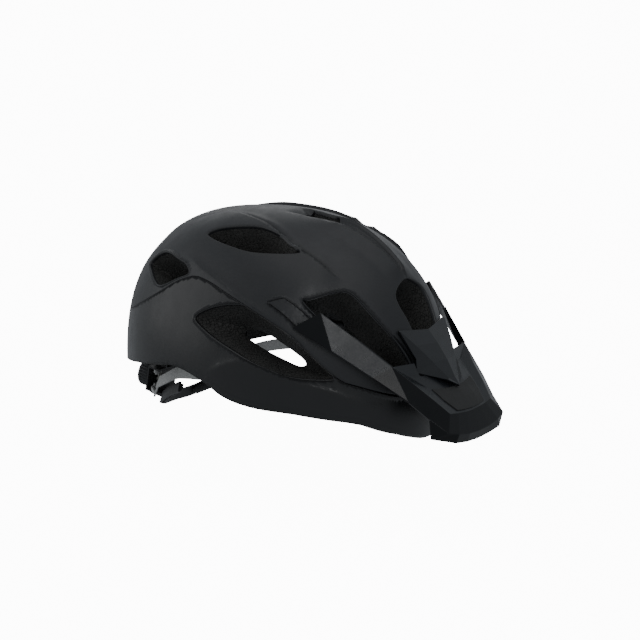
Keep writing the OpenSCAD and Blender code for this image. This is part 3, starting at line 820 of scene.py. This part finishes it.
def build_shells():
    seam_upper = ring_line(SEAM, -0.35)
    seam_lower = ring_line(SEAM, 0.35)
    rim = ring_line(RIM, -0.6)
    skin("upper_skin", seam_upper, None, "upper", "upper", "upper_shell", "upper_shell")
    skin("lower_skin", rim, seam_lower, "lower", "lower", "lower_shell", "lower_shell")
    foam_liner()


# ---------------------------------------------------------------- visor

# Half of the visor, as (x, forward, up) before the helmet is levelled: its outer edge, top and bottom
EDGE_TOP = [(76.5, 80.6, 106.9), (66.5, 104.2, 89.9), (54.5, 133.4, 68.1), (46.3, 147.3, 55.5),
            (39, 161.5, 43), (31.5, 173.5, 31.1)]
EDGE_LOW = [(87.5, 62.4, 95), (80.5, 93.8, 79.9), (67, 123.4, 60.3), (57, 151.9, 42.2),
            (49, 166, 28.8), (42.5, 179.4, 18.1)]
# Cross rows of the deck from beside the edge to the middle, and the lip below its front row
DECK = [[(41, 139.3, 59), (29, 144, 57.5), (0, 150, 55)],
        [(32, 152.5, 49.5), (16, 156.5, 48), (0, 158, 47.5)],
        [(28, 164, 39.5), (14, 167, 38.5), (0, 168, 38)],
        [(21, 175, 30), (10.5, 176, 29.3), (0, 176.3, 29)]]
LIP = [(30, 181.5, 15.5), (15, 182.3, 13.3), (0, 182.5, 12.7)]
BROW = [(48, 166, 12.5), (34, 181, 8.5), (16, 180.5, 6), (0, 180, 5)]
BRACE = (28, 138, 67)       # the deck's back corner, under the tongue
# The tongue's ridge from its root to its tip, its middle, and the foot of its flank
RIDGE = [(34, 127, 93), (26, 138, 80.5), (17, 148.4, 67), (7, 157.3, 53.2), (0, 163.4, 46.9)]
TONGUE = [(0, 133, 89), (0, 142, 79), (0, 151.5, 66), (0, 158.5, 53.5)]
FLANK = [(27, 138.8, 70), (28, 140.4, 59.1), (10, 159.2, 52.4)]
EDGE_LIFT = (6.4, 4.2, 1.0, 0, 0, 0)     # the arms' ends stand clear of the skin
INNER_WALL = ((0, 0, 3), (2, 0, 10))     # how far a wall behind the band hangs below its top
# These facets face away from the light and take the darker, glossier visor material: its darker colour is
# painted shade.
GLOSS_PAINTED_SHADE = [0, 3, 4, 5, 6] + list(range(16, 23))       # the arms' ends and sides, the lip and the brow
VISOR_T = 2.2


def at(p):
    """A point given as x, forward and up before levelling."""
    p = np.asarray(p, float)
    return levelled(np.stack([p[..., 0], -p[..., 1], p[..., 2]], -1))


def faceted(name, patches, thickness, material, nodes, width=0.6, angle=12, gloss=()):
    """A moulded sheet of flat facets, mirrored, thickened inwards and with its edges eased."""
    pile = Pile()
    for patch in patches:
        for side in (1, -1):
            p = at(np.array(patch, float) * (side, 1, 1))
            n = np.cross(p[1] - p[0], p[2] - p[0])
            order = range(len(p)) if n @ (p.mean(0) - CENTRE + (0, 0, 30)) > 0 else range(len(p) - 1, -1, -1)
            pile.add(p, [list(order)])
    obj = make(name, pile.points, pile.faces, material, "visor", nodes, flat=True)
    obj.data.materials.append(MATERIALS["gloss"])
    # The listed facets get the second material, a glossier visor plastic painted darker as shade.
    for i in gloss:
        obj.data.polygons[2 * i].material_index = obj.data.polygons[2 * i + 1].material_index = 1
    weld(obj, 0.05)
    add_modifier(obj, "SOLIDIFY", thickness=thickness * MM, offset=-1, use_even_offset=True)
    soften(obj, width, angle)
    return obj


def visor_edge():
    """The band round the visor's edge, its arms' ends lifted off the skin."""
    def lifted(row):
        row = np.array(row, float)
        out = row - np.array([0, 20, 45.0])
        return row + out / np.linalg.norm(out, axis=1, keepdims=True) * np.array(EDGE_LIFT)[:, None]
    return lifted(EDGE_TOP), lifted(EDGE_LOW)


def visor_frame():
    top, low = visor_edge()
    patches = [(low[0], top[0], low[1]), (top[0], top[1], low[1]), (top[1], top[2], low[2], low[1]),
               (top[2], low[3], low[2]), (top[2], top[3], low[3]), (top[3], top[4], low[4], low[3]),
               (top[4], top[5], low[5], low[4])]
    rows = [[top[i + 2]] + DECK[i] for i in range(4)] + [[low[5]] + LIP, BROW]
    for a, b in zip(rows, rows[1:]):
        patches += [(a[j], a[j + 1], b[j + 1], b[j]) for j in range(3)]
    patches += [(low[4], low[5], BROW[0]), (top[2], BRACE, DECK[0][1], DECK[0][0]),
                (top[1], top[2], top[2] - INNER_WALL[1], top[1] - INNER_WALL[0])]
    faceted("visor_shell", patches, VISOR_T, "visor", ("visor_frame",), 0.7, 9, GLOSS_PAINTED_SHADE)


def visor_tongue():
    r, c, (slit, p, q) = RIDGE, TONGUE, FLANK
    patches = [(r[i], r[i + 1], c[i + 1], c[i]) for i in range(3)] + [(r[3], r[4], c[3])]
    patches += [(r[0], slit, r[1]), (slit, p, r[2], r[1]), (p, q, r[3], r[2]), (q, r[4], r[3])]
    faceted("visor_tongue", patches, VISOR_T, "visor", (), 0.5, 9)


def visor_panel():
    """The matte panel on the deck, its edges eased and a little proud."""
    inset = [np.array([(0.93 * x, y, z) for x, y, z in DECK[i]]) for i in (1, 2, 3)]
    inset[0] = inset[0] * 0.82 + inset[1] * 0.18
    inset[2] = inset[2] * 0.86 + inset[1] * 0.14
    up = np.array([0, 0.72, 0.7]) * 0.9
    patches = [(a[j] + up, a[j + 1] + up, b[j + 1] + up, b[j] + up)
               for a, b in zip(inset, inset[1:]) for j in range(2)]
    faceted("visor_inlay", patches, 1.2, "panel", ("visor_panel",), 0.35, 20)


def build_visor():
    visor_frame()
    visor_tongue()
    visor_panel()


# ---------------------------------------------------------------- cover plates

def cover_plates():
    """Thin plates over the visor's studs, each in its own opening of the upper skin."""
    for side, flipped in (("left", False), ("right", True)):
        loop = shrunk(closed_curve(sharp(chart(COVER)), 0.3), 0.97, (0, 0))
        loop = mirrored(loop) if flipped else loop
        uv, faces = triangulated(loop, [], [], 1.2)
        points = on_dome(SHELL, uv, -0.5, relief)
        pile = Pile()
        pile.add(points, outward_faces(points, faces, CENTRE))
        p, n, across = edge_frame(loop, hole=False)
        rings = [p + n * 0.5, p + n * 0.35 - across * 0.35, p - n * 1.2 - across * 0.35]
        pile.bridge(rings)
        obj = make("cover_plate_" + side, pile.points, pile.faces, "upper", "helmet",
                   ("visor_covers",) if side == "left" else ())
        weld(obj, 0.05)


# ---------------------------------------------------------------- pads

# Each pad node, and where its sewn channels cross it, as parts of its half length
PADS = {"forehead_pad": (-0.62, -0.22, 0.22, 0.62), "crown_pads": (-0.3, 0.3), "side_pads": (0.0,),
        "rear_pads": (0.0,), "cradle_pads": (-0.25, 0.35), "chin_pad": (0.0,)}
CLOTH_SCALE = 4.0           # pads swell at this scale, where the cloth solver works well
PAD_SHRINK = 0.7            # millimetres that a pad starts smaller by
PAD_CAP = 0.9               # millimetres that a point may swell by
CHANNEL_DROP = 0.8          # depth of a sewn channel
CHANNEL_WIDTH = 1.7
CLOTH_PRESSURE, CLOTH_STEPS = 6, 20


def body_with(node):
    return next(b for b, nodes in frame["record"]["behaviour"]["bodies"].items() if node in nodes)


def islands(node):
    """The separate solids of a CAD node, each as points in millimetres and faces."""
    bm = bmesh.new()
    bm.from_mesh(frame["nodes"][node].data)
    bmesh.ops.remove_doubles(bm, verts=bm.verts, dist=1e-5)
    bm.verts.ensure_lookup_table()
    bm.normal_update()
    left, out = set(range(len(bm.verts))), []
    while left:
        stack, group = [min(left)], []
        left.discard(stack[0])
        while stack:
            i = stack.pop()
            group.append(i)
            for e in bm.verts[i].link_edges:
                j = e.other_vert(bm.verts[i]).index
                if j in left:
                    left.discard(j)
                    stack.append(j)
        group.sort()
        place = {i: k for k, i in enumerate(group)}
        points = np.array([bm.verts[i].co for i in group]) / MM
        turned = np.array([bm.verts[i].normal for i in group])
        faces = [[place[v.index] for v in f.verts] for f in bm.faces if f.verts[0].index in place]
        out.append((points, turned, faces))
    bm.free()
    return sorted(out, key=lambda piece: tuple(piece[0].mean(0).round(3)))


def evaluated(obj):
    return bpy.data.meshes.new_from_object(obj.evaluated_get(bpy.context.evaluated_depsgraph_get()))


def coordinates(mesh):
    flat = np.empty(len(mesh.vertices) * 3)
    mesh.vertices.foreach_get("co", flat)
    return flat.reshape(-1, 3)


def remeshed(name, points, turned, faces):
    """A slightly smaller copy of a pad in even voxel quads, at the cloth's scale."""
    mesh = bpy.data.meshes.new(name)
    small = points - turned * PAD_SHRINK
    mesh.from_pydata((small * MM * CLOTH_SCALE).tolist(), [], faces)
    obj = bpy.data.objects.new(name, mesh)
    bpy.context.scene.collection.objects.link(obj)
    add_modifier(obj, "REMESH", mode="VOXEL", voxel_size=0.005)
    even = evaluated(obj)
    obj.modifiers.clear()
    obj.data = even
    return obj


def swell(objects):
    """Cloth simulation: every pad is blown up a little from inside, without gravity."""
    starts = [coordinates(o.data) for o in objects]
    for obj in objects:
        cloth = obj.modifiers.new("cloth", "CLOTH")
        cloth.settings.use_pressure = True
        cloth.settings.uniform_pressure_force = CLOTH_PRESSURE
        cloth.settings.effector_weights.gravity = 0
        cloth.settings.quality = 4
    for step in range(1, CLOTH_STEPS + 1):
        bpy.context.scene.frame_set(step)
    ends = [coordinates(evaluated(o)) for o in objects]
    for obj in objects:
        obj.modifiers.clear()
    bpy.context.scene.frame_set(1)
    return starts, ends


def channelled(points, turned, stations):
    """Presses the sewn channels in across a pad."""
    middle = points.mean(0)
    long_way = np.linalg.svd(points - middle, full_matrices=False)[2][0]
    along = (points - middle) @ long_way
    half = np.abs(along).max()
    for station in stations:
        dip = np.exp(-((along - station * half) / CHANNEL_WIDTH) ** 2)
        points = points - turned * (dip * CHANNEL_DROP)[:, None]
    return points


def build_pads():
    made = []
    for node, stations in PADS.items():
        for k, (points, turned, faces) in enumerate(islands(node)):
            obj = remeshed("%s_%d" % (node, k + 1), points, turned, faces)
            made.append((node, stations, k, obj))
    starts, ends = swell([m[3] for m in made])
    for (node, stations, k, obj), start, end in zip(made, starts, ends):
        moved = (end - start) / (MM * CLOTH_SCALE)
        far = np.linalg.norm(moved, axis=1, keepdims=True)
        capped = start / (MM * CLOTH_SCALE) + moved * np.minimum(1, PAD_CAP / np.maximum(far, 1e-6))
        obj.data.vertices.foreach_set("co", (capped * MM).ravel())
        obj.data.update()
        turned = np.array([v.normal for v in obj.data.vertices])
        obj.data.vertices.foreach_set("co", (channelled(capped, turned, stations) * MM).ravel())
        obj.data.update()
        obj.data.shade_smooth()
        obj.data.materials.clear()
        obj.data.materials.append(MATERIALS["knit"])
        add_modifier(obj, "SUBSURF", levels=1, render_levels=1)
        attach(obj, body_with(node))
        if k == 0:
            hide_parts(node)


# ---------------------------------------------------------------- straps

STRAP_IN = 10.4                      # how far inside the cavity's wall the webbing runs
WEB_W, WEB_T = 15, 1.4
LOOP_RADIUS = 1.95                   # of the webbing's loops round the anchor bars
FRONT_LEG = [(88, 75.6), (89, 66), (92, 57), (98, 49)]
REAR_LEG = [(120, 75.6), (117, 66), (112, 57), (105.5, 49)]
ANCHORS = [(88, 78), (120, 78)]
CHIN = [(100.5, 41), (89.5, 39.3), (76.5, 39.8), (67.5, 42.4), (61.5, 46.6)]


def unit(v):
    return v / np.linalg.norm(v, axis=-1, keepdims=True)


def on_wall(q, inset, per):
    return on_dome(CAVITY, open_curve(chart(q), per), inset)


class Webbing(Pile):
    """Ribbons of webbing with rounded selvedges, each point knowing its place along and across."""

    def __init__(self):
        super().__init__()
        self.place = []

    def ribbon(self, path, out, closed=False):
        across = np.linspace(-1, 1, 13)
        thin = WEB_T / 2 * (1 - 0.45 * np.abs(across) ** 6)
        n = len(path)
        ahead = np.roll(path, -1, axis=0) if closed else path[np.minimum(np.arange(n) + 1, n - 1)]
        behind = np.roll(path, 1, axis=0) if closed else path[np.maximum(np.arange(n) - 1, 0)]
        along = unit(ahead - behind)
        side = unit(np.cross(out, along))
        up = np.cross(along, side)
        walk = np.concatenate([[0], np.cumsum(np.linalg.norm(np.diff(path, axis=0), axis=1))])
        loops = []
        for i in range(n):
            face = [path[i] + side[i] * a * WEB_W / 2 + up[i] * t for a, t in zip(across, thin)]
            back = [path[i] + side[i] * a * WEB_W / 2 - up[i] * t for a, t in zip(across[::-1], thin[::-1])]
            loops.append(np.array(face + back))
            width = np.concatenate([across, across[::-1]]) * WEB_W / 2
            self.place += [(walk[i] * MM, w * MM, 0) for w in width]
        start = len(self.points)
        if closed:
            loops.append(loops[0])
            self.place += [(walk[-1] * MM, w * MM, 0) for w in width]
        self.bridge(loops)
        m = len(loops[0])
        if not closed:
            last = start + (len(loops) - 1) * m
            for k in range(m // 2 - 1):
                quad = (k, k + 1, m - 2 - k, m - 1 - k)
                self.faces.append([start + q for q in quad])
                self.faces.append([last + q for q in quad[::-1]])


def strap_piece(name, ribbons, side, body, node):
    web = Webbing()
    for path, out, closed in ribbons:
        web.ribbon(path * (side, 1, 1), out * (side, 1, 1), closed)
    obj = make(name, web.points, web.faces, "webbing", body, (node,))
    recalc(obj)
    places = obj.data.attributes.new("strap_place", "FLOAT_VECTOR", "POINT")
    places.data.foreach_set("vector", np.array(web.place, float).ravel())
    return obj


def open_ribbon(q, inset, per=8):
    path = on_wall(q, inset, per)
    return path, unit(path - (0, 0, 30)), False


def anchor_loop(anchor, line):
    """The webbing's sewn loop round its anchor bar."""
    a = unit(np.cross(line, (0, 0, 1.0)))
    b = np.cross(line, a)
    angles = np.radians(np.arange(0, 360, 15))[:, None]
    out = a * np.cos(angles) + b * np.sin(angles)
    return anchor + out * LOOP_RADIUS, out, True


def build_straps():
    front, rear = (on_dome(CAVITY, chart(q), STRAP_IN) for q in ANCHORS)
    line = unit(rear - front)
    for side, word in ((1, "left"), (-1, "right")):
        body = word + "_strap_set"
        legs = [open_ribbon(FRONT_LEG, STRAP_IN), open_ribbon(REAR_LEG, STRAP_IN + 0.4),
                anchor_loop(front, line), anchor_loop(rear, line)]
        strap_piece(word + "_strap_legs", legs, side, body, word + "_straps")
        strap_piece(word + "_chin_webbing", [open_ribbon(CHIN, STRAP_IN)], side, body, word + "_chin_strap")


# ---------------------------------------------------------------- carried-over CAD nodes

CARRIED = {
    "visor_bosses": "visor", "visor_mounts": "nylon", "visor_screws": "steel", "headband": "band",
    "temple_pins": "nylon", "temple_bands": "band", "right_band": "band", "left_band": "band",
    "height_strip": "nylon", "height_guide": "nylon", "dial_housing": "nylon", "housing_cover": "nylon",
    "cradle": "nylon", "pinion": "white", "dial_knob": "knob", "dial_screw": "steel",
    "strap_anchors": "nylon", "right_divider": "nylon", "left_divider": "nylon", "buckle_socket": "nylon",
    "buckle_plug": "nylon", "strap_keeper": "knob"}


def dress_nodes():
    for name, obj in frame["nodes"].items():
        if name in CARRIED:
            obj.data.materials.clear()
            obj.data.materials.append(MATERIALS[CARRIED[name]])
            weld(obj, 0.01)
            soften(obj, 0.3, 40, 2)


make_camera()
make_stage()
build_shells()
build_visor()
cover_plates()
build_pads()
build_straps()
dress_nodes()
